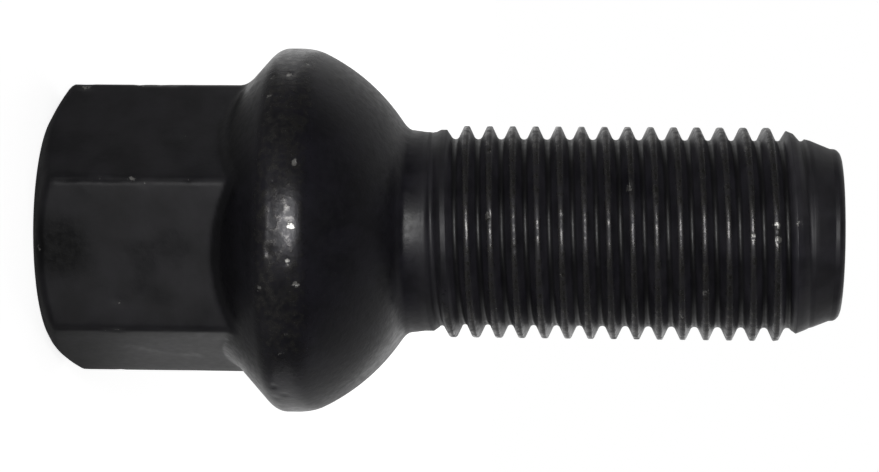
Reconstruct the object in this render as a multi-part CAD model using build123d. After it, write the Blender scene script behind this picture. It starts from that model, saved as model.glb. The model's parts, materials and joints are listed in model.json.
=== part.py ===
from build123d import *
import math
import os

# Wheel bolt, forged in one piece: hexagon head, back cone, collar with a ball seat, neck, shank and tip.
# Millimetres. The bolt stands on its head end at z = 0, and its axis runs up +Z to the tip of the shank.

# Hexagon head
HEX_ACROSS_FLATS = 17.0
HEX_EDGE_RADIUS = 0.4
HEX_TURN = 30.0
HEAD_FACE_DIAMETER = 15.3
HEAD_CHAMFER_ANGLE = 30.0
DISH_DIAMETER = 9.6
DISH_DEPTH = 0.7
DISH_WALL_ANGLE = 40.0

# Back cone, from the hexagon out to the collar
BACK_CONE_ANGLE = 48.0
BACK_FILLET_RADIUS = 1.4

# Collar and ball seat, with heights from the head end
COLLAR_DIAMETER = 24.0
COLLAR_BACK_RADIUS = 1.5
BALL_STEP = 1.0
BALL_RADIUS = COLLAR_DIAMETER / 2 + BALL_STEP
BALL_CENTRE_HEIGHT = 12.1
COLLAR_BACK_STEP = 2.85
COLLAR_BACK_HEIGHT = BALL_CENTRE_HEIGHT + COLLAR_BACK_STEP

# Thread, as the cylinder over its crests
THREAD_DIAMETER = 13.9
START_CHAMFER_ANGLE = 45.0

# Neck between the ball seat and the thread
NECK_STEP = 0.8
NECK_DIAMETER = THREAD_DIAMETER - NECK_STEP
NECK_LENGTH = 2.27
NECK_FILLET_RADIUS = 1.6

# Tapered tip
BOLT_LENGTH = 51.4
TIP_CONE_ANGLE = 22.0
TIP_FACE_DIAMETER = 10.7
TIP_EDGE_CHAMFER = 0.3

# Room by which a cutting form stands clear of the surface it cuts
CUT_CLEARANCE = 0.5

hex_inner_r = HEX_ACROSS_FLATS / 2
hex_corner_r = hex_inner_r / math.cos(math.radians(30))
head_face_r = HEAD_FACE_DIAMETER / 2
dish_r = DISH_DIAMETER / 2
collar_r = COLLAR_DIAMETER / 2
neck_r = NECK_DIAMETER / 2
thread_r = THREAD_DIAMETER / 2
tip_face_r = TIP_FACE_DIAMETER / 2


def slope(angle):
    """Rise away from the axis for each millimetre along it, on a cone of this half angle."""
    return math.tan(math.radians(angle))


def ball_height(radius):
    """Height at which the ball seat has this radius."""
    return BALL_CENTRE_HEIGHT + math.sqrt(BALL_RADIUS**2 - radius**2)


def turned(section):
    """A section drawn as (radius, height), turned about the bolt's axis."""
    return revolve(Plane.XZ * section, axis=Axis.Z)


def straight_sided(*points):
    """A section with straight sides through these (radius, height) points."""
    return make_face(Polyline(*points, close=True))


def corner(section, radius, height):
    """The section's corner nearest to (radius, height)."""
    return section.vertices().sort_by_distance((radius, height, 0))[0]


def turned_blank():
    """Back cone, collar, ball seat, neck, shank and tip, turned as one section."""
    inner_r = hex_inner_r / 2
    inner_z = COLLAR_BACK_HEIGHT - (collar_r - inner_r) / slope(BACK_CONE_ANGLE)
    rim_z = ball_height(collar_r)
    seat_r = (collar_r + neck_r) / 2
    neck_z = ball_height(neck_r)
    neck_end_z = neck_z + NECK_LENGTH
    thread_z = neck_end_z + (thread_r - neck_r) / slope(START_CHAMFER_ANGLE)
    tip_z = BOLT_LENGTH - (thread_r - tip_face_r) / slope(TIP_CONE_ANGLE)

    back = Polyline((0, inner_z), (inner_r, inner_z), (collar_r, COLLAR_BACK_HEIGHT), (collar_r, rim_z))
    seat = ThreePointArc((collar_r, rim_z), (seat_r, ball_height(seat_r)), (neck_r, neck_z))
    shank = Polyline(
        (neck_r, neck_z),
        (neck_r, neck_end_z),
        (thread_r, thread_z),
        (thread_r, tip_z),
        (tip_face_r, BOLT_LENGTH),
        (0, BOLT_LENGTH),
        (0, inner_z),
    )
    section = make_face(back + seat + shank)
    section = fillet(corner(section, collar_r, COLLAR_BACK_HEIGHT), COLLAR_BACK_RADIUS)
    section = fillet(corner(section, neck_r, neck_z), NECK_FILLET_RADIUS)
    section = chamfer(corner(section, tip_face_r, BOLT_LENGTH), TIP_EDGE_CHAMFER)
    return turned(section)


def hexagon_head():
    """Hexagon prism with rounded edges and a coned, dished end face."""
    hexagon = RegularPolygon(hex_inner_r, 6, major_radius=False, rotation=HEX_TURN)
    hexagon = fillet(hexagon.vertices(), HEX_EDGE_RADIUS)
    prism = extrude(hexagon, COLLAR_BACK_HEIGHT)

    outer_r = hex_corner_r + CUT_CLEARANCE
    cone_z = (outer_r - head_face_r) * slope(HEAD_CHAMFER_ANGLE)
    end_cone = turned(
        straight_sided(
            (0, 0),
            (head_face_r, 0),
            (outer_r, cone_z),
            (outer_r, COLLAR_BACK_HEIGHT),
            (0, COLLAR_BACK_HEIGHT),
        )
    )

    floor_r = dish_r - DISH_DEPTH / slope(DISH_WALL_ANGLE)
    mouth_r = dish_r + CUT_CLEARANCE / slope(DISH_WALL_ANGLE)
    dish = turned(
        straight_sided(
            (0, -CUT_CLEARANCE),
            (mouth_r, -CUT_CLEARANCE),
            (floor_r, DISH_DEPTH),
            (0, DISH_DEPTH),
        )
    )
    return (prism & end_cone) - dish


def wheel_bolt():
    """Head and blank as one forging, with the concave fillet between the flats and the back cone."""
    head = hexagon_head()
    blank = turned_blank()
    forging = head + blank
    return fillet(new_edges(head, blank, combined=forging), BACK_FILLET_RADIUS)


os.makedirs("parts", exist_ok=True)
export_step(wheel_bolt(), "parts/wheel_bolt.step")
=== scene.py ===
"""Looks of a wheel bolt: one black coated forging with a rolled thread, on a plain studio stage."""

import json
import math
import random
from collections import namedtuple

import bmesh
import bpy
from bpy.props import FloatProperty, FloatVectorProperty, IntProperty, PointerProperty
from mathutils import Matrix, Vector, kdtree, noise


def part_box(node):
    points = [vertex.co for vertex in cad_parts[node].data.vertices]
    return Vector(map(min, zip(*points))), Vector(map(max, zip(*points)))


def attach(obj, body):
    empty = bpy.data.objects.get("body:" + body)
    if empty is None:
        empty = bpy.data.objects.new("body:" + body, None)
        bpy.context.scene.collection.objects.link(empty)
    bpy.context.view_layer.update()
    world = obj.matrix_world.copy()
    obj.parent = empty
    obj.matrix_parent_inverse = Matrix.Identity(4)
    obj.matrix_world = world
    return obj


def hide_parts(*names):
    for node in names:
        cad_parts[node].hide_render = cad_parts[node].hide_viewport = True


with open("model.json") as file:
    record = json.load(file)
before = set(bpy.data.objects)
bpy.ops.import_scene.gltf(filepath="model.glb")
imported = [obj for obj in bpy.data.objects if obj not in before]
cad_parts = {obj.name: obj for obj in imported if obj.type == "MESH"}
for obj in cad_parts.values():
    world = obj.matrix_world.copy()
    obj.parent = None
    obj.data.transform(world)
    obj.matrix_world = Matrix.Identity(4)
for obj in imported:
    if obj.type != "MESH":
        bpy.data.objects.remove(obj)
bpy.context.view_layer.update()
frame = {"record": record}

bl_info = {
    "name": "Wheel bolt",
    "version": (1, 0, 0),
    "blender": (4, 5, 0),
    "location": "3D View > Sidebar > Wheel bolt",
    "description": "Models a black coated wheel bolt with a ball seat and sets it on a studio stage",
    "category": "Add Mesh",
}

MM = 0.001

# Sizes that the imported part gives
NODE = "wheel_bolt"
BOLT_LOW, BOLT_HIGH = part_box(NODE)
MOUNTS = {mount["name"]: mount for mount in frame["record"]["mounts"]}
BOLT_LENGTH = BOLT_HIGH.z - BOLT_LOW.z
COLLAR_DIAMETER = BOLT_HIGH.x - BOLT_LOW.x
CREST_DIAMETER = MOUNTS["thread"]["dims"]["r_mm"] * 2 * MM
BALL_RADIUS = MOUNTS["ball_seat"]["dims"]["r_mm"] * MM
BALL_CENTRE = MOUNTS["ball_seat"]["pos_m"][2]

# Mesh density: columns and rows, and how the corners of an outline are cut back
COLUMNS = 288
CORNER_CROWDING = 0.7
CROWDING_TOP = 11.0 * MM
WELD = 0.004 * MM
EDGE_EASE = 0.08 * MM
THREAD_EASE = 0.045 * MM
ROOT_STEPS = 3
LAND_ROWS = (0.12, 0.65)
NECK_ROW = 0.12 * MM
FLOOR_SEGMENTS = 96

# Rows of the head's mesh: the height at which a stretch ends and the spacing in it, in millimetres
HEAD_ROWS = ((1.4, 0.1), (10.2, 0.36), (13.6, 0.16), (15.6, 0.1), (17.0, 0.2), (17.8, 0.1), (22.6, 0.26))

# Angle that one side of the hexagon takes up
HEX_SIDE = math.radians(60)

# Spans over which film, rubbing, painted shade and painted light set in, from the place that the function
# using them names
FILM_OVER_CONE = (0.1 * MM, 0.45 * MM)
FILM_AT_NECK = (-1.8 * MM, 0.4 * MM)
FILM_AT_TIP = (-0.3 * MM, 0.5 * MM)
COLLAR_ROUND = (-1.2 * MM, -0.05 * MM)
LAND_RUBBED = (-0.2 * MM, 0.0)
CREST_RUBBED = (-0.2 * MM, 0.0)
EDGE_RUBBED = (-0.12 * MM, 0.0)
CREST_DARK = (-0.3 * MM, -0.1 * MM)
CONE_FOOT = (-2.5 * MM, -0.8 * MM)
NECK_LIGHT_SPAN = (-2.2 * MM, -1.2 * MM)
THREAD_LIGHT_SPAN = (0.0, 1.2 * MM)
TIP_DARK = (0.0, 1.8 * MM)
GROOVE_END = (1.0 * MM, 1.8 * MM)
NECK_CALM = (-2.0 * MM, 0.0)
WORN_FACING = (-0.2, 0.7)

# Reaches of rubbing and of painted shade
GROOVE_RUBBED = 0.12 * MM
GROOVE_DARK = 0.18 * MM
CONE_EDGE = 0.3 * MM
LAND_MARGIN = 0.05 * MM

# Strengths of film, rubbing, painted shade (darker groove, crests and cone foot) and painted light (paler
# neck, thread and collar, less of it on the tip) in each place, and of the darker patch
THREAD_FILM = 0.8
PATCH_FILM = 0.8
LAND_RUB = 0.2
GROOVE_RUB = 0.6
CREST_RUB = 1.05
EDGE_RUB = 0.4
FAR_SIDE_RUB = 0.3
GROOVE_PAINTED_SHADE = 4.6
CREST_PAINTED_SHADE = 2.1
TIP_LESS_PAINTED_LIGHT = 2.4
PATCH_DARKENING = 1.6
NECK_PAINTED_LIGHT = 1.0
THREAD_PAINTED_LIGHT = 2.3
COLLAR_PAINTED_LIGHT = 0.8

# Forging's slow unevenness: share of its finer waves, and how many times finer they are
FINE_WAVE_SHARE = 0.3
FINE_WAVE_SCALE = 3

# Noise of the coating: waves in a millimetre, detail and roughness
Noise = namedtuple("Noise", "scale detail roughness", defaults=(0.55,))
CLOUD = Noise(0.45, 5.0, 0.6)
SKIN = Noise(2.2, 4.0)
GRAIN = Noise(8.0, 2.0)
CHIPS = Noise(5.0, 3.0, 0.65)
THIN = Noise(0.22, 2.0)
NOISE_SPAN = (0.3, 0.7)

# Where the coating's noise, with rubbing added, turns to bare steel, burnish, polish and a thinner film
BARE_SPAN = (0.92, 1.08)
BURNISH_SPAN = (1.18, 1.64)
POLISH_SPAN = (0.3, 0.65)
THIN_SPAN = (0.34, 0.5)
SKIN_IN_BURNISH = 0.8
BURNISH_POWER = 2.0
THINNEST_FILM = 0.45
ROUGHNESS_SPREAD = (-0.05, 0.07)
FILM_CALM = 0.3
GRAIN_HEIGHT = 0.15
CHIP_HEIGHT = 0.5
COAT_SPECULAR = 0.25

# Names of the values that the mesh carries for the coating
ATTRIBUTES = ("film", "rub", "grime", "chip")

# Camera and floor
CLIP_START = 1.0 * MM
FLOOR_CLEARANCE = 0.01 * MM
FLOOR_WHITE_FROM = 1 / 3

# Small marks: shares of the largest width and depth, bareness, degrees off an edge, and where each kind lies
MARK_KINDS = ("collar", "edge", "crest")
MARK_WIDTHS = (0.5, 1.0)
MARK_DEPTHS = (0.4, 1.0)
MARK_BARENESS = (0.1, 0.45)
MARK_SPREAD = 1.5
COLLAR_HEIGHTS = (15.0, 17.4)
EDGE_HEIGHTS = (1.5, 10.5)
CREST_TURNS = (18, 32)

# Listed marks: turn in degrees; height, width and depth in millimetres; how bare the steel is
Mark = namedtuple("Mark", "turn height width depth bareness", defaults=(0.55,))
MARKS = (
    Mark(233.0, 16.2, 0.40, 0.05),
    Mark(268.0, 17.1, 0.35, 0.03),
    Mark(287.5, 17.0, 0.45, 0.03),
    Mark(298.0, 16.8, 0.32, 0.03),
    Mark(305.0, 17.3, 0.30, 0.03),
    Mark(306.0, 15.0, 0.30, 0.03),
    Mark(212.0, 2.2, 0.70, 0.15),
    Mark(297.0, 0.5, 0.50, 0.10),
    Mark(243.0, 8.2, 0.35, 0.04),
    Mark(243.5, 9.4, 0.40, 0.05),
    Mark(319.0, 5.6, 0.45, 0.06),
    Mark(269.5, 6.6, 0.50, 0.05),
    Mark(264.0, 37.6, 0.50, 0.16),
    Mark(331.0, 35.9, 0.45, 0.14),
    Mark(296.0, 25.6, 0.30, 0.06, 0.4),
    Mark(280.0, 28.7, 0.45, 0.10),
    Mark(284.0, 47.0, 0.40, 0.10),
    Mark(291.0, 47.1, 0.40, 0.10),
    Mark(282.5, 48.4, 0.45, 0.06),
)

# Darker patch on one flat, and the share of its width that is dark all over
PATCH = Mark(297.0, 1.9, 3.0, 0.0)
PATCH_CORE = 0.3


def length(name, description, metres):
    """A length property, in metres."""
    return FloatProperty(
        name=name, description=description, default=metres, subtype="DISTANCE", precision=5
    )


def angle(name, description, degrees):
    """An angle property, written in degrees."""
    return FloatProperty(name=name, description=description, default=math.radians(degrees), subtype="ANGLE")


def share(name, description, value):
    """A share from none to all."""
    return FloatProperty(
        name=name, description=description, default=value, min=0.0, max=1.0, subtype="FACTOR"
    )


def level(name, description, value):
    """A brightness, where 1 is white."""
    return FloatProperty(name=name, description=description, default=value, min=0.0)


def count(name, description, value):
    """A whole number."""
    return IntProperty(name=name, description=description, default=value, min=0)


def colour(name, description, value):
    """A linear colour."""
    return FloatVectorProperty(
        name=name, description=description, default=value, size=3, min=0.0, max=1.0, subtype="COLOR"
    )


class BoltShape(bpy.types.PropertyGroup):
    """Sizes of the forged head, collar and neck."""

    bolt_length: length("Bolt length", "From the head end to the tip", BOLT_LENGTH)
    hexagon_width: length("Hexagon width", "Across the flats", 17.0 * MM)
    hexagon_blend: length("Hexagon edge", "Reach of the rounding along the hexagon's edges", 0.42 * MM)
    roll_depth: length("Flat roll-off", "How far each flat falls away at the hexagon's edges", 0.06 * MM)
    roll_reach: length("Roll-off reach", "From an edge to where the flat begins to fall away", 1.5 * MM)
    face_diameter: length("Head face", "Diameter of the flat end of the head", 15.3 * MM)
    face_chamfer: angle("Head chamfer", "Slope of the cone round the head end", 30.0)
    face_blend: length("Head chamfer edge", "Reach of the rounding between chamfer and flats", 0.6 * MM)
    dish_diameter: length("Dish diameter", "Mouth of the dish in the head end", 9.6 * MM)
    dish_depth: length("Dish depth", "Depth of the dish in the head end", 0.7 * MM)
    dish_wall: angle("Dish wall", "Slope of the dish's wall", 40.0)
    back_cone: angle("Back cone", "Half angle of the cone from the hexagon to the collar", 48.0)
    back_blend: length("Back fillet", "Reach of the fillet between the flats and the back cone", 0.58 * MM)
    collar_diameter: length("Collar diameter", "Widest diameter of the bolt", COLLAR_DIAMETER)
    collar_height: length("Collar height", "From the head end to the collar's back corner", 14.95 * MM)
    collar_blend: length("Collar corner", "Reach of the rounding at the collar's back corner", 0.62 * MM)
    ball_radius: length("Ball radius", "Radius of the ball seat", BALL_RADIUS)
    ball_centre: length("Ball centre", "Height of the ball's centre above the head end", BALL_CENTRE)
    rim_blend: length("Collar rim", "Reach of the rounding between collar and ball seat", 0.36 * MM)
    neck_diameter: length("Neck diameter", "Plain neck under the ball seat", 13.1 * MM)
    neck_blend: length("Neck fillet", "Reach of the fillet between ball seat and neck", 0.55 * MM)
    neck_taper: angle("Neck taper", "Slope of the neck's root under the ball seat", 8.0)
    neck_taper_end: length("Taper end", "Height at which the neck's taper ends", 24.5 * MM)
    neck_weld: length("Neck middle", "Height at which the thread's mesh takes over", 24.7 * MM)


class ThreadShape(bpy.types.PropertyGroup):
    """Sizes of the rolled thread and the tapered tip."""

    crest_diameter: length("Crest diameter", "Over the thread's crests", CREST_DIAMETER)
    root_diameter: length("Root diameter", "At the bottom of the groove", 12.18 * MM)
    crest_width: length("Crest width", "Flat along the top of the thread", 0.34 * MM)
    root_radius: length("Root radius", "Rounding at the bottom of the groove", 0.28 * MM)
    pitch: length("Pitch", "Rise of the thread in one turn", 1.5 * MM)
    flank_angle: angle("Flank angle", "Slope of each flank from the bolt's radius", 30.0)
    groove_start: length("Groove start", "Height of a groove on the +X side, less whole turns", 0.04 * MM)
    thread_start: length("Thread start", "Height at which the crest starts to rise", 25.2 * MM)
    start_angle: angle("Start angle", "How steeply the crest rises along the bolt", 20.0)
    runout_start: length("Run-out start", "Height at which the groove starts to sink", 24.8 * MM)
    runout_angle: angle("Run-out angle", "How steeply the groove sinks along the bolt", 24.2)
    tip_cone: angle("Tip cone", "Half angle of the tapered tip", 22.0)
    tip_face: length("Tip face", "Diameter at which the tip cone meets the end", 10.7 * MM)
    tip_land: length("Tip land", "Height of the narrow land round the end", 0.36 * MM)
    land_slope: angle("Land slope", "Half angle of that land", 4.0)
    tip_edge: length("Tip edge", "Height of the small chamfer round the end", 0.28 * MM)
    tip_blend: length("Tip blend", "Reach of the rounding between thread and tip cone", 0.12 * MM)


class BoltFinish(bpy.types.PropertyGroup):
    """Coating, wear, unevenness and painted shade and light of the bolt."""

    coat_colour: colour("Coating", "Black coating under the film", (0.0048, 0.0045, 0.0064))
    coat_roughness: share("Coating roughness", "Roughness of the black coating", 0.33)
    film_colour: colour("Film", "Greyer film on the flats, the thread and the tip", (0.0079, 0.0075, 0.0090))
    film_roughness: share("Film roughness", "Roughness of the greyer film", 0.48)
    burnish_colour: colour("Burnish", "Dark shine of well rubbed coating", (0.064, 0.062, 0.06))
    worn_side: angle("Worn side", "Direction round the axis in which the collar is rubbed the most", 270.0)
    polish_roughness: share("Polish roughness", "Roughness where the coating is rubbed smooth", 0.24)
    steel_colour: colour("Bare steel", "Steel where the coating is chipped off", (0.24, 0.235, 0.225))
    steel_roughness: share("Bare roughness", "Roughness of the bare steel", 0.34)
    wear: share("Wear", "How far rubbed edges show bare steel", 0.2)
    # Painted shade: how far the coat's colour is darkened in the recesses; the same value below 0 is painted
    # light
    grime: share("Grime", "How far grime darkens the recesses", 0.5)
    mottle: share("Mottle", "How far the colour of the coating varies", 0.35)
    skin_height: length("Skin height", "Height of the fine unevenness in the coating", 0.018 * MM)
    wave_height: length("Wave height", "Height of the forging's slow unevenness", 0.03 * MM)
    wave_length: length("Wave length", "Length of the forging's slow unevenness", 3.5 * MM)
    small_marks: count("Small marks", "Number of small marks all round", 90)
    small_mark_width: length("Small mark width", "Widest of the small marks", 0.5 * MM)
    small_mark_depth: length("Small mark depth", "Deepest of the small marks", 0.07 * MM)
    seed: count("Seed", "Start of the draw of small marks", 7)


class StudioStage(bpy.types.PropertyGroup):
    """Camera, lamps, world and floor."""

    camera_azimuth: angle("Camera azimuth", "Direction of the camera round the bolt, from +X", 288.5)
    camera_tilt: angle("Camera tilt", "How far the camera stands towards the tip", 4.0)
    camera_distance: length("Camera distance", "From the camera to the bolt's axis", 165.0 * MM)
    camera_lens: FloatProperty(name="Lens", description="Focal length in millimetres", default=102.6)
    camera_roll: angle("Camera roll", "Turn of the bolt's axis in the picture", 0.53)
    aim_height: length("Aim height", "Height on the axis at the middle of the picture", 25.35 * MM)
    aim_drop: length("Aim drop", "How far the picture's middle lies under the axis", 0.3 * MM)
    key_turn: angle("Key turn", "Key lamp's angle over the camera, in the picture", 4.0)
    key_tilt: angle("Key tilt", "Key lamp's angle towards the tip", 5.0)
    key_distance: length("Key distance", "From the key lamp to the bolt", 320.0 * MM)
    key_size: length("Key size", "Side of the square key lamp", 145.0 * MM)
    key_radiance: level("Key level", "Brightness of the key lamp's face", 12.8)
    back_turn: angle("Back turn", "Back lamp's angle over the camera, in the picture", -172.0)
    back_tilt: angle("Back tilt", "Back lamp's angle towards the tip", 30.0)
    back_distance: length("Back distance", "From the back lamp to the bolt", 350.0 * MM)
    back_size: length("Back size", "Side of the square back lamp", 260.0 * MM)
    back_radiance: level("Back level", "Brightness of the back lamp's face", 0.85)
    room_level: level("Room level", "Brightness of the room round the stage", 0.1)
    backdrop_turn: angle("Backdrop turn", "Backdrop's middle, over the camera in the picture", -175.0)
    backdrop_tilt: angle("Backdrop tilt", "Backdrop's middle, towards the tip", 18.0)
    backdrop_edge: angle("Backdrop edge", "From the backdrop's middle to its edge", 79.0)
    backdrop_soft: angle("Backdrop softness", "Width of that edge", 50.0)
    backdrop_level: share("Backdrop level", "How bright gloss shows the backdrop", 0.5)
    floor_radius: length("Floor radius", "Radius of the round floor", 600.0 * MM)
    floor_colour: colour("Floor colour", "Pale floor", (0.85, 0.85, 0.85))
    floor_glow: share("Floor glow", "How far the floor is lifted to white", 0.8)
    floor_gloss: share("Floor gloss", "How bright gloss shows the floor behind the bolt", 0.8)
    # Painted shadow on the floor, seen only in gloss: round the foot the floor's glow is dimmed
    foot_radius: length("Foot radius", "Round the bolt's foot, gloss shows the floor in shade", 8.0 * MM)
    foot_fade: length("Foot fade", "Width over which that shade ends", 25.0 * MM)


def soft_min(a, b, blend):
    """The smaller of two values, rounded where they lie within blend of each other."""
    near = max(blend - abs(a - b), 0.0) / blend
    return min(a, b) - near * near * blend / 4


def soft_max(a, b, blend):
    """The larger of two values, rounded where they lie within blend of each other."""
    return -soft_min(-a, -b, blend)


def eased(points, ease):
    """The points of a polyline, with each inner corner cut back by ease on both sides."""
    line = [Vector(points[0])]
    for before, here, after in zip(points, points[1:], points[2:]):
        corner = Vector(here)
        line.append(corner + (Vector(before) - corner).normalized() * ease)
        line.append(corner + (Vector(after) - corner).normalized() * ease)
    line.append(Vector(points[-1]))
    return line


def steps(spans):
    """Values from 0 on, with (end, spacing) for each span in turn."""
    values = [0.0]
    for end, spacing in spans:
        start = values[-1]
        number = math.ceil((end - start) / spacing)
        values += [start + (end - start) * (step + 1) / number for step in range(number)]
    return values


def hexagon_radius(shape, azimuth):
    """From the axis to the hexagon's side in this direction, with rounded edges."""
    off_flat = abs((azimuth + HEX_SIDE / 2) % HEX_SIDE - HEX_SIDE / 2)
    flat = shape.hexagon_width / 2
    to_edge = flat * (math.tan(HEX_SIDE / 2) - math.tan(off_flat))
    roll = shape.roll_depth * max(1 - to_edge / shape.roll_reach, 0.0) ** 2
    here = flat / math.cos(off_flat)
    beside = flat / math.cos(HEX_SIDE - off_flat)
    return soft_min(here, beside, shape.hexagon_blend) - roll


def collar_radius(shape, height):
    """Back cone, collar, ball seat and neck, as one turned outline."""
    collar = shape.collar_diameter / 2
    cone = collar - (shape.collar_height - height) * math.tan(shape.back_cone)
    if height < shape.collar_height:
        return soft_min(cone, collar, shape.collar_blend)
    ball = math.sqrt(max(shape.ball_radius**2 - (height - shape.ball_centre) ** 2, 0.0))
    outline = soft_min(soft_min(cone, collar, shape.collar_blend), ball, shape.rim_blend)
    taper = max(shape.neck_taper_end - height, 0.0) * math.tan(shape.neck_taper)
    return soft_max(outline, shape.neck_diameter / 2 + taper, shape.neck_blend)


def head_radius(shape, azimuth, height):
    """The hexagon with its coned end, where it stands out of the turned outline."""
    turned = collar_radius(shape, height)
    if height > shape.collar_height:
        return turned
    end_cone = shape.face_diameter / 2 + height / math.tan(shape.face_chamfer)
    hexagon = soft_min(hexagon_radius(shape, azimuth), end_cone, shape.face_blend)
    return soft_max(hexagon, turned, shape.back_blend)


def on_helix(thread, azimuth, height, shift):
    """Height in this direction of the nearest groove, or of the nearest crest if shift is half a turn."""
    turn = azimuth / math.tau + shift
    whole_turns = round((height - thread.groove_start) / thread.pitch - turn)
    return thread.groove_start + thread.pitch * (whole_turns + turn)


def thread_radius(shape, thread, azimuth, radius, height):
    """A radius of the thread's form: groove and crest grow out of the neck, and the tip cone ends them."""
    neck = shape.neck_diameter / 2
    over_weld = height - shape.neck_weld
    groove = on_helix(thread, azimuth, height, 0.0)
    crest = on_helix(thread, azimuth, height, 0.5)
    sunk = min(max(groove - thread.runout_start, 0.0) * math.tan(thread.runout_angle), over_weld)
    risen = min(max(crest - thread.thread_start, 0.0) * math.tan(thread.start_angle), over_weld)
    lift = max(neck - thread.root_diameter / 2 - sunk, 0.0)
    highest = min(neck + risen, thread.crest_diameter / 2)
    tip = thread.tip_face / 2 + (shape.bolt_length - height) * math.tan(thread.tip_cone)
    form = max(radius, min(radius + lift, neck))
    return soft_min(min(form, highest), tip, thread.tip_blend)


def set_place(vert, azimuth, radius, height):
    """Moves a vertex to this place round the axis."""
    vert.co = (radius * math.cos(azimuth), radius * math.sin(azimuth), height)


def spin_line(points, climb=0.0):
    """A new mesh: a line of (radius, height) points spun once about the axis, climbing as a screw."""
    mesh = bmesh.new()
    verts = [mesh.verts.new((radius, 0, height)) for radius, height in points]
    edges = [mesh.edges.new(pair) for pair in zip(verts, verts[1:])]
    bmesh.ops.spin(
        mesh,
        geom=verts + edges,
        cent=(0, 0, 0),
        axis=(0, 0, 1),
        dvec=(0, 0, climb / COLUMNS),
        angle=math.tau,
        steps=COLUMNS,
        use_merge=climb == 0.0,
    )
    return mesh


def head_end_line(shape):
    """The dish and the flat ring that the bolt stands on, from the axis out."""
    floor_radius = shape.dish_diameter / 2 - shape.dish_depth / math.tan(shape.dish_wall)
    return eased(
        [
            (0, shape.dish_depth),
            (floor_radius, shape.dish_depth),
            (shape.dish_diameter / 2, 0),
            (shape.face_diameter / 2 - EDGE_EASE, 0),
        ],
        EDGE_EASE,
    )


def spin_head(shape):
    """Head end, hexagon, collar, ball seat and neck: a plain tube, drawn in to the head's form."""
    rows = steps([(end * MM, spacing * MM) for end, spacing in HEAD_ROWS] + [(shape.neck_weld, NECK_ROW)])
    tube = shape.collar_diameter / 2
    fade_length = shape.collar_height - CROWDING_TOP
    sides = math.tau / HEX_SIDE
    mesh = spin_line(head_end_line(shape) + [(tube, height) for height in rows])
    for vert in mesh.verts:
        height = vert.co.z
        radius = vert.co.xy.length
        azimuth = math.atan2(vert.co.y, vert.co.x)
        fade = min(max((shape.collar_height - height) / fade_length, 0.0), 1.0)
        azimuth += fade * CORNER_CROWDING * math.sin(azimuth * sides) / sides
        if radius > shape.face_diameter / 2:
            radius = head_radius(shape, azimuth, height)
        set_place(vert, azimuth, radius, height)
    return mesh


def spin_thread(shape, thread):
    """One turn of the thread's form, spun as a screw, stacked up the shank and drawn in at both ends."""
    crest = thread.crest_diameter / 2
    root = thread.root_diameter / 2
    root_turn = math.radians(90) - thread.flank_angle
    groove = [
        (
            root + thread.root_radius * (1 - math.cos(root_turn * step / ROOT_STEPS)),
            thread.root_radius * math.sin(root_turn * step / ROOT_STEPS),
        )
        for step in range(ROOT_STEPS + 1)
    ]
    crest_start = (thread.pitch - thread.crest_width) / 2
    first = math.floor((shape.neck_weld - thread.pitch - thread.groove_start) / thread.pitch)
    start = thread.groove_start + first * thread.pitch
    tip_weld = shape.bolt_length - thread.tip_edge - thread.tip_land
    flank_radius, flank_height = groove[-1]
    top = eased(
        [
            (flank_radius, flank_height),
            (crest, crest_start),
            (crest, thread.pitch - crest_start),
            (flank_radius, thread.pitch - flank_height),
        ],
        THREAD_EASE,
    )
    outline = groove[:-1] + [tuple(point) for point in top]
    outline += [(radius, thread.pitch - height) for radius, height in reversed(groove[:-1])]
    mesh = spin_line([(radius, start + height) for radius, height in outline], thread.pitch)
    turn = mesh.verts[:] + mesh.edges[:] + mesh.faces[:]
    for number in range(1, math.ceil((tip_weld - start) / thread.pitch)):
        copy = bmesh.ops.duplicate(mesh, geom=turn)["geom"]
        verts = [item for item in copy if isinstance(item, bmesh.types.BMVert)]
        bmesh.ops.translate(mesh, verts=verts, vec=(0, 0, number * thread.pitch))
    for vert in mesh.verts:
        height = min(max(vert.co.z, shape.neck_weld), tip_weld)
        azimuth = math.atan2(vert.co.y, vert.co.x)
        radius = thread_radius(shape, thread, azimuth, vert.co.xy.length, height)
        set_place(vert, azimuth, radius, height)
    return mesh


def spin_tip_end(shape, thread):
    """The narrow land, the small chamfer and the flat end of the tip."""
    land_height = shape.bolt_length - thread.tip_edge
    weld_height = land_height - thread.tip_land
    weld_radius = thread_radius(shape, thread, 0.0, thread.crest_diameter / 2, weld_height)
    land_radius = weld_radius - thread.tip_land * math.tan(thread.land_slope)
    edge_radius = land_radius - thread.tip_edge
    weld = Vector((weld_radius, weld_height))
    land = Vector((land_radius, land_height))
    edge = Vector((edge_radius, shape.bolt_length))
    rim = eased([weld, land, edge, (0, shape.bolt_length)], EDGE_EASE)
    rim[1:1] = [weld.lerp(land, part) for part in LAND_ROWS]
    return spin_line(rim)


def surface_radius(shape, thread, azimuth, height):
    """From the axis to the bolt's surface, over the thread's crests."""
    if height < shape.neck_weld:
        return head_radius(shape, azimuth, height)
    return thread_radius(shape, thread, azimuth, thread.crest_diameter / 2, height)


def rise(value, low, high):
    """How far a value has risen from low to high, eased at both ends."""
    part = min(max((value - low) / (high - low), 0.0), 1.0)
    return part * part * (3 - 2 * part)


def between(span, part):
    """The value that lies this part of the way along a span."""
    low, high = span
    return low + (high - low) * part


def patch_share(shape, azimuth, height):
    """How far a spot lies inside the darker patch on one flat."""
    across = (math.radians(PATCH.turn) - azimuth % math.tau) * shape.hexagon_width / 2
    distance = math.hypot(across, height - PATCH.height * MM)
    return 1 - rise(distance, PATCH_CORE * PATCH.width * MM, PATCH.width * MM)


def collar_share(shape, radius):
    """How close a spot comes to the collar's widest round."""
    return rise(radius - shape.collar_diameter / 2, *COLLAR_ROUND)


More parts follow.
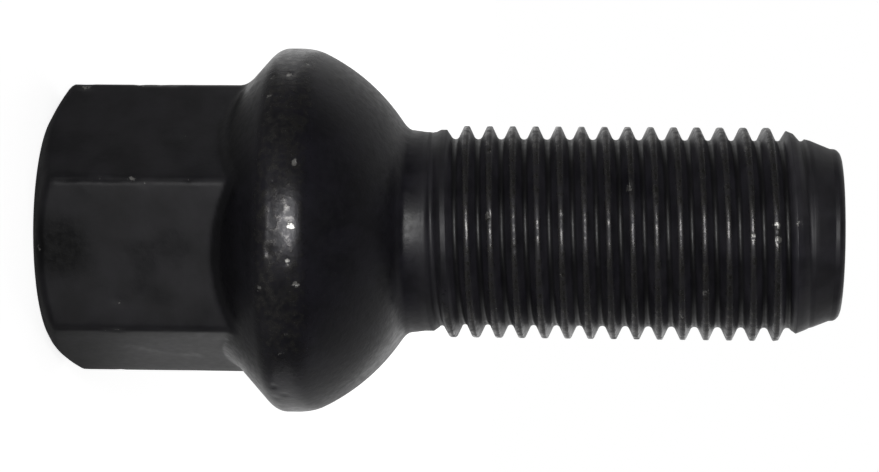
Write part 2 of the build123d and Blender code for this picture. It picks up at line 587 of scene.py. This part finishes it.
def tip_start(shape, thread):
    """Height at which the tip cone leaves the thread's crests."""
    return shape.bolt_length - (thread.crest_diameter - thread.tip_face) / 2 / math.tan(thread.tip_cone)


def groove_share(shape, thread, height, radius, reach):
    """How deep a spot lies in the thread's groove, within reach of its bottom, up to the tip."""
    in_groove = 1 - rise(radius - thread.root_diameter / 2, 0.0, reach)
    return in_groove * (1 - rise(height - tip_start(shape, thread), *GROOVE_END))


def film_share(shape, thread, azimuth, height):
    """How far the greyer film covers the surface: the head up to the back cone, the thread and the tip."""
    if height < shape.collar_height:
        covered = rise(hexagon_radius(shape, azimuth) - collar_radius(shape, height), *FILM_OVER_CONE)
        return covered * (1 - PATCH_FILM * patch_share(shape, azimuth, height))
    on_thread = rise(height - shape.neck_weld, *FILM_AT_NECK)
    on_tip = rise(height - tip_start(shape, thread), *FILM_AT_TIP)
    return THREAD_FILM * on_thread + (1 - THREAD_FILM) * on_tip


def rub_share(shape, thread, finish, azimuth, height, radius):
    """How far a spot stands out to be rubbed: the collar, the thread's crests and the hexagon's edges."""
    land = shape.bolt_length - thread.tip_edge - thread.tip_land
    if height > land - LAND_MARGIN:
        return LAND_RUB * rise(radius - thread.tip_face / 2, *LAND_RUBBED)
    if height > thread.thread_start:
        groove = groove_share(shape, thread, height, radius, GROOVE_RUBBED)
        crest = rise(radius - thread.crest_diameter / 2, *CREST_RUBBED)
        return GROOVE_RUB * groove + CREST_RUB * crest
    if hexagon_radius(shape, azimuth) > collar_radius(shape, height):
        return EDGE_RUB * rise(radius - hexagon_radius(shape, HEX_SIDE / 2), *EDGE_RUBBED)
    facing = rise(math.cos(azimuth - finish.worn_side), *WORN_FACING)
    return (FAR_SIDE_RUB + (1 - FAR_SIDE_RUB) * facing) * collar_share(shape, radius)


def painted_shading_share(shape, thread, azimuth, height, radius):
    """How far painted shade darkens the groove and the foot of the back cone, and how dark the patch on one
    flat is; below 0 it is painted light, paler on the neck, thread and collar.
    """
    # Painted light: the neck, the thread and the collar are painted paler, less so on the tip
    painted_light_share = rise(height - shape.neck_weld, *NECK_LIGHT_SPAN)
    if height > thread.thread_start:
        groove = groove_share(shape, thread, height, radius, GROOVE_DARK)
        crest = rise(radius - thread.crest_diameter / 2, *CREST_DARK)
        grown = rise(height - thread.thread_start, *THREAD_LIGHT_SPAN)
        on_tip = rise(height - tip_start(shape, thread), *TIP_DARK)
        painted_light = NECK_PAINTED_LIGHT + (THREAD_PAINTED_LIGHT - TIP_LESS_PAINTED_LIGHT * on_tip) * grown
        # Painted shade darkens the groove and the crests; painted light makes the rest of the thread paler
        return GROOVE_PAINTED_SHADE * groove + CREST_PAINTED_SHADE * crest - painted_light * painted_light_share
    if height > shape.collar_height:
        return -NECK_PAINTED_LIGHT * painted_light_share - COLLAR_PAINTED_LIGHT * collar_share(shape, radius)
    if hexagon_radius(shape, azimuth) < collar_radius(shape, height) + CONE_EDGE:
        # Painted shade: the coat's colour is darker towards the foot of the back cone
        return 1 - rise(radius - shape.collar_diameter / 2, *CONE_FOOT)
    return PATCH_DARKENING * patch_share(shape, azimuth, height)


def small_marks(thread, finish):
    """Small marks drawn all round: on the collar, along the hexagon's edges and on the crests."""
    draw = random.Random(finish.seed)
    side = math.degrees(HEX_SIDE)
    marks = []
    for number in range(finish.small_marks):
        kind = MARK_KINDS[number % len(MARK_KINDS)]
        width = finish.small_mark_width * draw.uniform(*MARK_WIDTHS)
        depth = finish.small_mark_depth * draw.uniform(*MARK_DEPTHS)
        turn = draw.uniform(0.0, 360.0)
        place = draw.random()
        height = between(COLLAR_HEIGHTS, place) * MM
        if kind == "edge":
            turn = side * (math.floor(turn / side) + 0.5) + draw.uniform(-MARK_SPREAD, MARK_SPREAD)
            height = between(EDGE_HEIGHTS, place) * MM
        if kind == "crest":
            turns = math.floor(between(CREST_TURNS, place)) + turn / 360.0 + 0.5
            height = thread.groove_start + thread.pitch * turns
        marks.append(Mark(turn, height / MM, width / MM, depth / MM, draw.uniform(*MARK_BARENESS)))
    return marks


def strike(mesh, shape, thread, marks, chip):
    """Presses the marks into the surface and notes how bare the steel is in them."""
    tree = kdtree.KDTree(len(mesh.verts))
    for number, vert in enumerate(mesh.verts):
        tree.insert(vert.co, number)
    tree.balance()
    mesh.verts.ensure_lookup_table()
    for mark in marks:
        azimuth = math.radians(mark.turn)
        height = mark.height * MM
        radius = surface_radius(shape, thread, azimuth, height)
        centre = Vector((radius * math.cos(azimuth), radius * math.sin(azimuth), height))
        for _, number, distance in tree.find_range(centre, mark.width * MM):
            near = (1 - (distance / (mark.width * MM)) ** 2) ** 2
            vert = mesh.verts[number]
            vert.co.xy *= 1 - near * mark.depth * MM / vert.co.xy.length
            vert[chip] = max(vert[chip], mark.bareness * near)


def weather(mesh, shape, thread, finish):
    """Gives the forging its uneven skin, and notes where film, rubbing, painted shade and painted light, and
    chips lie.
    """
    film, rub, grime, chip = [mesh.verts.layers.float.new(name) for name in ATTRIBUTES]
    for vert in mesh.verts:
        height = vert.co.z
        radius = vert.co.xy.length
        azimuth = math.atan2(vert.co.y, vert.co.x)
        vert[film] = film_share(shape, thread, azimuth, height)
        vert[rub] = rub_share(shape, thread, finish, azimuth, height, radius)
        # Painted shade and painted light: a darker groove and cone foot, a paler neck, thread and collar,
        # and a darker patch on one flat
        vert[grime] = painted_shading_share(shape, thread, azimuth, height, radius)
        if radius > 0:
            place = vert.co / finish.wave_length
            wave = (1 - FINE_WAVE_SHARE) * noise.noise(place)
            wave += FINE_WAVE_SHARE * noise.noise(place * FINE_WAVE_SCALE)
            forged = 1 - rise(height - shape.neck_weld, *NECK_CALM)
            vert.co.xy *= 1 - forged * finish.wave_height * (1 + wave) / 2 / radius
    strike(mesh, shape, thread, list(MARKS) + small_marks(thread, finish), chip)


def build_bolt(shape, thread, finish):
    """The whole bolt as one closed mesh."""
    data = bpy.data.meshes.new("forged_bolt")
    mesh = bmesh.new()
    for part in (spin_head(shape), spin_thread(shape, thread), spin_tip_end(shape, thread)):
        part.to_mesh(data)
        mesh.from_mesh(data)
        part.free()
    bmesh.ops.remove_doubles(mesh, verts=mesh.verts, dist=WELD)
    bmesh.ops.recalc_face_normals(mesh, faces=mesh.faces)
    if any(not edge.is_manifold for edge in mesh.edges):
        raise RuntimeError("the bolt's mesh isn't closed")
    weather(mesh, shape, thread, finish)
    for face in mesh.faces:
        face.smooth = True
    mesh.to_mesh(data)
    mesh.free()
    return data


def add_node(tree, kind, inputs=None, **settings):
    """A new node, with its settings and with values or links for its inputs."""
    node = tree.nodes.new(kind)
    for name, value in settings.items():
        setattr(node, name, value)
    for socket, value in (inputs or {}).items():
        if isinstance(value, bpy.types.NodeSocket):
            tree.links.new(value, node.inputs[socket])
        else:
            node.inputs[socket].default_value = value
    return node


def math_node(tree, operation, a, b):
    """The value of a math node."""
    return add_node(tree, "ShaderNodeMath", {0: a, 1: b}, operation=operation).outputs[0]


def ramp(tree, value, low, high, bottom=0.0, top=1.0):
    """A value eased from bottom to top between low and high."""
    ends = {"Value": value, "From Min": low, "From Max": high, "To Min": bottom, "To Max": top}
    return add_node(tree, "ShaderNodeMapRange", ends, interpolation_type="SMOOTHSTEP").outputs["Result"]


def mix_colour(tree, amount, a, b):
    """A colour between two colours; the sockets are counted, because their names repeat."""
    ends = {0: amount, 6: a, 7: b}
    return add_node(tree, "ShaderNodeMix", ends, data_type="RGBA").outputs[2]


def noise_value(tree, place, kind):
    """A soft random value at each place."""
    inputs = {"Vector": place, "Scale": kind.scale, "Detail": kind.detail, "Roughness": kind.roughness}
    return add_node(tree, "ShaderNodeTexNoise", inputs).outputs["Fac"]


def attribute_value(tree, name):
    """A value that the mesh carries."""
    return add_node(tree, "ShaderNodeAttribute", attribute_name=name).outputs["Fac"]


def coated_steel(finish):
    """Worn black coating: satin film on the flats, darker and shinier elsewhere, chipped to bare steel, with
    painted shade and painted light in its colour.
    """
    material = bpy.data.materials.new("coated_steel")
    material.use_nodes = True
    tree = material.node_tree
    shader = tree.nodes["Principled BSDF"]
    metres = add_node(tree, "ShaderNodeTexCoord").outputs["Object"]
    to_mm = {"Vector": metres, "Scale": (1 / MM,) * 3}
    place = add_node(tree, "ShaderNodeMapping", to_mm).outputs["Vector"]
    film, rub, grime, chip = [attribute_value(tree, name) for name in ATTRIBUTES]

    # Where the coating is rubbed, burnished and chipped
    skin = noise_value(tree, place, SKIN)
    worn = math_node(tree, "ADD", math_node(tree, "MULTIPLY", rub, finish.wear), chip)
    bare = ramp(tree, math_node(tree, "ADD", noise_value(tree, place, CHIPS), worn), *BARE_SPAN)
    rubbed_skin = math_node(tree, "ADD", math_node(tree, "MULTIPLY", skin, SKIN_IN_BURNISH), rub)
    burnish = ramp(tree, rubbed_skin, *BURNISH_SPAN)
    polish = math_node(tree, "MULTIPLY", rub, ramp(tree, skin, *POLISH_SPAN))
    thin = ramp(tree, noise_value(tree, place, THIN), *THIN_SPAN, THINNEST_FILM)
    cover = math_node(tree, "MULTIPLY", film, thin)
    calm = ramp(tree, cover, 0.0, 1.0, 1.0, FILM_CALM)

    # Colour: coating and film, clouded, darkened by painted shade and paled by painted light, then burnish
    # and bare steel
    # Painted shade darkens the colour in the groove and at the back cone's foot; below 0 it is painted light
    # that makes the neck, thread and collar paler
    shading_scale = math_node(tree, "SUBTRACT", 1.0, math_node(tree, "MULTIPLY", grime, finish.grime))
    cloud = noise_value(tree, place, CLOUD)
    clouded = ramp(tree, cloud, *NOISE_SPAN, 1.0 - finish.mottle, 1.0 + finish.mottle)
    coat = mix_colour(tree, cover, (*finish.coat_colour, 1.0), (*finish.film_colour, 1.0))
    tinting = {0: coat, "Scale": math_node(tree, "MULTIPLY", shading_scale, clouded)}
    tint = add_node(tree, "ShaderNodeVectorMath", tinting, operation="SCALE").outputs["Vector"]
    shine = math_node(tree, "POWER", burnish, BURNISH_POWER)
    rubbed = mix_colour(tree, shine, tint, (*finish.burnish_colour, 1.0))
    tree.links.new(mix_colour(tree, bare, rubbed, (*finish.steel_colour, 1.0)), shader.inputs["Base Color"])
    tree.links.new(math_node(tree, "MAXIMUM", bare, burnish), shader.inputs["Metallic"])

    # Roughness: uneven, and smoother where it is rubbed
    smooth = ramp(tree, cover, 0.0, 1.0, finish.coat_roughness, finish.film_roughness)
    uneven = math_node(tree, "MULTIPLY", ramp(tree, skin, *NOISE_SPAN, *ROUGHNESS_SPREAD), calm)
    patchy = math_node(tree, "ADD", smooth, uneven)
    polished = ramp(tree, polish, 0.0, 1.0, patchy, finish.polish_roughness)
    tree.links.new(ramp(tree, bare, 0.0, 1.0, polished, finish.steel_roughness), shader.inputs["Roughness"])
    shader.inputs["Specular IOR Level"].default_value = COAT_SPECULAR

    # Fine height of the skin, with the chips cut into it
    grain = math_node(tree, "MULTIPLY", noise_value(tree, place, GRAIN), GRAIN_HEIGHT)
    pitted = math_node(tree, "MULTIPLY", math_node(tree, "ADD", skin, grain), calm)
    chipped = math_node(tree, "SUBTRACT", pitted, math_node(tree, "MULTIPLY", bare, CHIP_HEIGHT))
    relief = {"Height": chipped, "Distance": finish.skin_height, "Strength": 1.0}
    bump = add_node(tree, "ShaderNodeBump", relief)
    tree.links.new(bump.outputs["Normal"], shader.inputs["Normal"])
    return material


def stage_direction(stage, turn, tilt):
    """Direction from the bolt that lies turn over the camera in the picture and tilt towards the tip."""
    azimuth = stage.camera_azimuth - turn
    return Vector((math.cos(tilt) * math.cos(azimuth), math.cos(tilt) * math.sin(azimuth), math.sin(tilt)))


def picture_axes(stage):
    """Right, up and back directions of the camera, with the bolt's axis running to the right."""
    back = stage_direction(stage, 0.0, stage.camera_tilt)
    axis = Vector((0, 0, 1))
    right = (axis - back * axis.dot(back)).normalized()
    right.rotate(Matrix.Rotation(stage.camera_roll, 3, back))
    return right, back.cross(right), back


def add_camera(stage):
    """Camera at the photograph's viewing angle."""
    right, up, back = picture_axes(stage)
    data = bpy.data.cameras.new("camera")
    data.sensor_fit = "HORIZONTAL"
    data.lens = stage.camera_lens
    data.clip_start = CLIP_START
    camera = bpy.data.objects.new("camera", data)
    bpy.context.scene.collection.objects.link(camera)
    aim = Vector((0, 0, stage.aim_height)) - up * stage.aim_drop
    facing = Matrix((right, up, back)).transposed().to_4x4()
    camera.matrix_world = Matrix.Translation(aim + back * stage.camera_distance) @ facing
    bpy.context.scene.camera = camera


def add_softbox(name, stage, direction, distance, size, radiance):
    """A square lamp that faces the middle of the bolt, with this brightness over its face."""
    data = bpy.data.lights.new(name, "AREA")
    data.size = size
    data.energy = radiance * math.pi * size**2
    lamp = bpy.data.objects.new(name, data)
    lamp.visible_camera = False
    lamp.location = Vector((0, 0, stage.aim_height)) + direction * distance
    lamp.rotation_mode = "QUATERNION"
    lamp.rotation_quaternion = direction.to_track_quat("Z", "Y")
    bpy.context.scene.collection.objects.link(lamp)


def background_rays(tree, gloss):
    """Share of a ray that shows the white background: for camera and transmitted rays all, else gloss."""
    rays = add_node(tree, "ShaderNodeLightPath").outputs
    clear = math_node(tree, "MAXIMUM", rays["Is Camera Ray"], rays["Is Transmission Ray"])
    return math_node(tree, "MAXIMUM", clear, math_node(tree, "MULTIPLY", rays["Is Glossy Ray"], gloss))


def set_world(stage):
    """A dim room with a white backdrop behind the bolt, and white all round for the camera."""
    world = bpy.data.worlds.new("studio")
    world.use_nodes = True
    tree = world.node_tree
    tree.nodes.clear()
    middle = stage_direction(stage, stage.backdrop_turn, stage.backdrop_tilt)
    direction = add_node(tree, "ShaderNodeTexCoord").outputs["Generated"]
    facing = add_node(tree, "ShaderNodeVectorMath", {0: direction, 1: middle}, operation="DOT_PRODUCT")
    outer = math.cos(stage.backdrop_edge + stage.backdrop_soft / 2)
    inner = math.cos(stage.backdrop_edge - stage.backdrop_soft / 2)
    backdrop = ramp(tree, facing.outputs["Value"], outer, inner)
    gloss = math_node(tree, "MULTIPLY", backdrop, stage.backdrop_level)
    white = background_rays(tree, gloss)
    strength = ramp(tree, white, 0.0, 1.0, stage.room_level, 1.0)
    light = add_node(tree, "ShaderNodeBackground", {"Color": (1, 1, 1, 1), "Strength": strength})
    add_node(tree, "ShaderNodeOutputWorld", {"Surface": light.outputs[0]})
    bpy.context.scene.world = world


def floor_material(stage):
    """Pale floor, lifted to white for what sees it, that still takes a shadow."""
    material = bpy.data.materials.new("pale_floor")
    material.use_nodes = True
    tree = material.node_tree
    tree.nodes.clear()
    plain = add_node(tree, "ShaderNodeBsdfDiffuse", {"Color": (*stage.floor_colour, 1.0)})
    place = add_node(tree, "ShaderNodeTexCoord").outputs["Object"]
    from_foot = add_node(tree, "ShaderNodeVectorMath", {0: place}, operation="LENGTH").outputs["Value"]
    middle = stage_direction(stage, stage.backdrop_turn, 0.0)
    behind = add_node(tree, "ShaderNodeVectorMath", {0: place, 1: middle}, operation="DOT_PRODUCT")
    fade_end = stage.foot_radius + stage.foot_fade
    # Painted shadow for gloss: the floor's glow is dim round the foot and in front of the bolt
    out_of_shade = ramp(tree, behind.outputs["Value"], stage.foot_radius, fade_end, 0.0, stage.floor_gloss)
    white_from = stage.floor_radius * FLOOR_WHITE_FROM
    white = ramp(tree, from_foot, stage.foot_radius, white_from, stage.floor_glow, 1.0)
    strength = math_node(tree, "MULTIPLY", background_rays(tree, out_of_shade), white)
    glow = add_node(tree, "ShaderNodeEmission", {"Strength": strength})
    both = add_node(tree, "ShaderNodeAddShader", {0: plain.outputs[0], 1: glow.outputs[0]})
    add_node(tree, "ShaderNodeOutputMaterial", {"Surface": both.outputs[0]})
    return material


def add_floor(stage):
    """Round floor under the head end."""
    mesh = bmesh.new()
    bmesh.ops.create_circle(mesh, cap_ends=True, segments=FLOOR_SEGMENTS, radius=stage.floor_radius)
    bmesh.ops.translate(mesh, verts=mesh.verts, vec=(0, 0, BOLT_LOW.z - FLOOR_CLEARANCE))
    data = bpy.data.meshes.new("floor")
    mesh.to_mesh(data)
    mesh.free()
    floor = bpy.data.objects.new("floor", data)
    data.materials.append(floor_material(stage))
    bpy.context.scene.collection.objects.link(floor)


class WHEELBOLT_OT_forge(bpy.types.Operator):
    """Models the forged bolt with its rolled thread and coats it"""

    bl_idname = "wheel_bolt.forge"
    bl_label = "Make the bolt"

    def execute(self, context):
        scene = context.scene
        data = build_bolt(scene.bolt_shape, scene.thread_shape, scene.bolt_finish)
        data.materials.append(coated_steel(scene.bolt_finish))
        bolt = bpy.data.objects.new("forged_bolt", data)
        scene.collection.objects.link(bolt)
        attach(bolt, "root")
        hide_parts(NODE)
        return {"FINISHED"}


class WHEELBOLT_OT_stage(bpy.types.Operator):
    """Sets up the floor, the lamps, the world and the camera"""

    bl_idname = "wheel_bolt.stage"
    bl_label = "Set the stage"

    def execute(self, context):
        stage = context.scene.studio_stage
        add_camera(stage)
        key = stage_direction(stage, stage.key_turn, stage.key_tilt)
        add_softbox("key", stage, key, stage.key_distance, stage.key_size, stage.key_radiance)
        back = stage_direction(stage, stage.back_turn, stage.back_tilt)
        add_softbox("back", stage, back, stage.back_distance, stage.back_size, stage.back_radiance)
        set_world(stage)
        add_floor(stage)
        context.scene.view_settings.view_transform = "Standard"
        return {"FINISHED"}


class WHEELBOLT_PT_sidebar(bpy.types.Panel):
    """Sidebar panel with the bolt's sizes, its finish and the stage"""

    bl_idname = "WHEELBOLT_PT_sidebar"
    bl_label = "Wheel bolt"
    bl_space_type = "VIEW_3D"
    bl_region_type = "UI"
    bl_category = "Wheel bolt"

    def draw(self, context):
        scene = context.scene
        groups = (
            ("Head and collar", scene.bolt_shape, WHEELBOLT_OT_forge),
            ("Thread and tip", scene.thread_shape, WHEELBOLT_OT_forge),
            ("Finish", scene.bolt_finish, WHEELBOLT_OT_forge),
            ("Stage", scene.studio_stage, WHEELBOLT_OT_stage),
        )
        for title, group, operator in groups:
            box = self.layout.box()
            box.label(text=title)
            for name in group.__annotations__:
                box.prop(group, name)
            box.operator(operator.bl_idname)


CLASSES = (
    BoltShape,
    ThreadShape,
    BoltFinish,
    StudioStage,
    WHEELBOLT_OT_forge,
    WHEELBOLT_OT_stage,
    WHEELBOLT_PT_sidebar,
)
GROUPS = {
    "bolt_shape": BoltShape,
    "thread_shape": ThreadShape,
    "bolt_finish": BoltFinish,
    "studio_stage": StudioStage,
}


def register():
    """Registers the classes and hangs their properties on the scene."""
    for item in CLASSES:
        bpy.utils.register_class(item)
    for name, group in GROUPS.items():
        setattr(bpy.types.Scene, name, PointerProperty(type=group))


def unregister():
    """Takes the properties and the classes away again."""
    for name in GROUPS:
        delattr(bpy.types.Scene, name)
    for item in reversed(CLASSES):
        bpy.utils.unregister_class(item)


def main():
    """Makes the bolt and its stage."""
    register()
    bpy.ops.wheel_bolt.forge()
    bpy.ops.wheel_bolt.stage()


if __name__ == "__main__":
    main()
